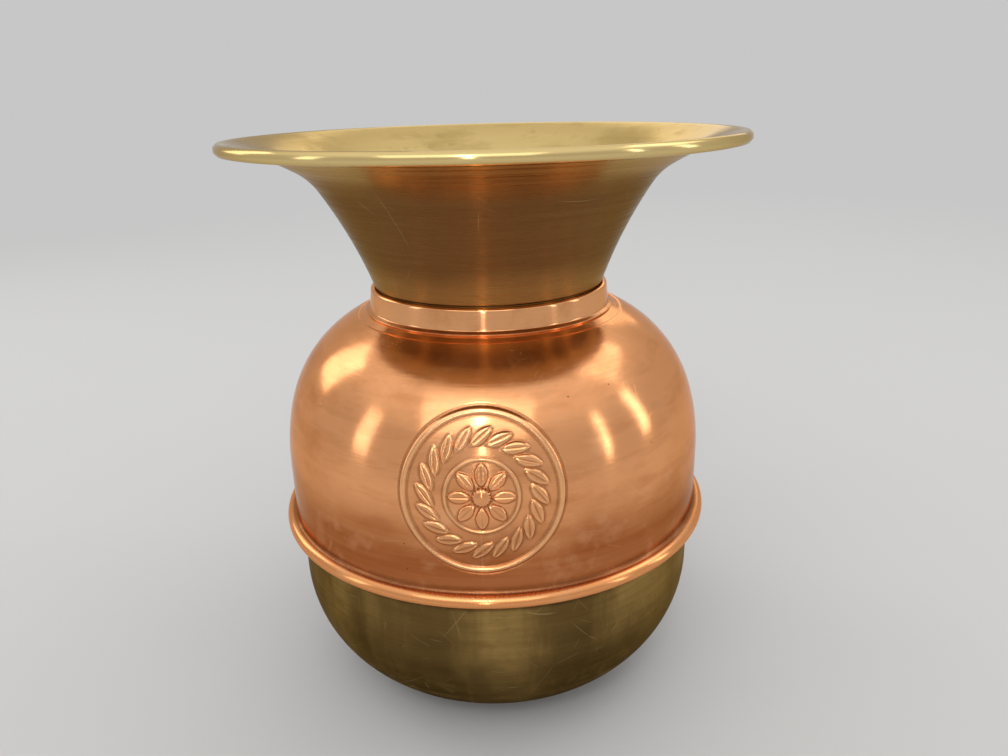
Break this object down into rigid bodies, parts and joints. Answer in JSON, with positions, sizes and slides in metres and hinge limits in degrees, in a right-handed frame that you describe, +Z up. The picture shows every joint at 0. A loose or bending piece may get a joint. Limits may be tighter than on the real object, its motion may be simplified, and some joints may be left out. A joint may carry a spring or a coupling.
{
  "type": "spittoon",
  "caption": "Lift-top spittoon: round-bottomed brass bowl crimped to a copper dome with a stamped medallion, copper neck collar and a loose flared brass funnel.",
  "frame": {"origin": "centre of the flat foot of the bowl, on the floor", "axes": "+Z up along the axis that all the sheets were spun on, -Y out of the medallion on the dome"},
  "size_m": [0.2214, 0.2214, 0.2516],
  "materials": {
    "bowl_brass": "polished, tarnished and scratched",
    "copper": "polished copper",
    "collar_copper": "polished copper",
    "funnel_brass": "polished, spun",
    "wire_steel": "drawn wire"
  },
  "bodies": {
    "vessel": {"base_bowl": "bowl_brass", "copper_dome": "copper", "neck_collar": "collar_copper"},
    "funnel": {"mouth_funnel": "funnel_brass", "rim_wire": "wire_steel"}
  },
  "joints": [
    {"name": "funnel_lift", "type": "slide", "parent": "vessel", "child": "funnel", "axis": [0, 0, 1], "range_m": [0, 0.045]}
  ]
}
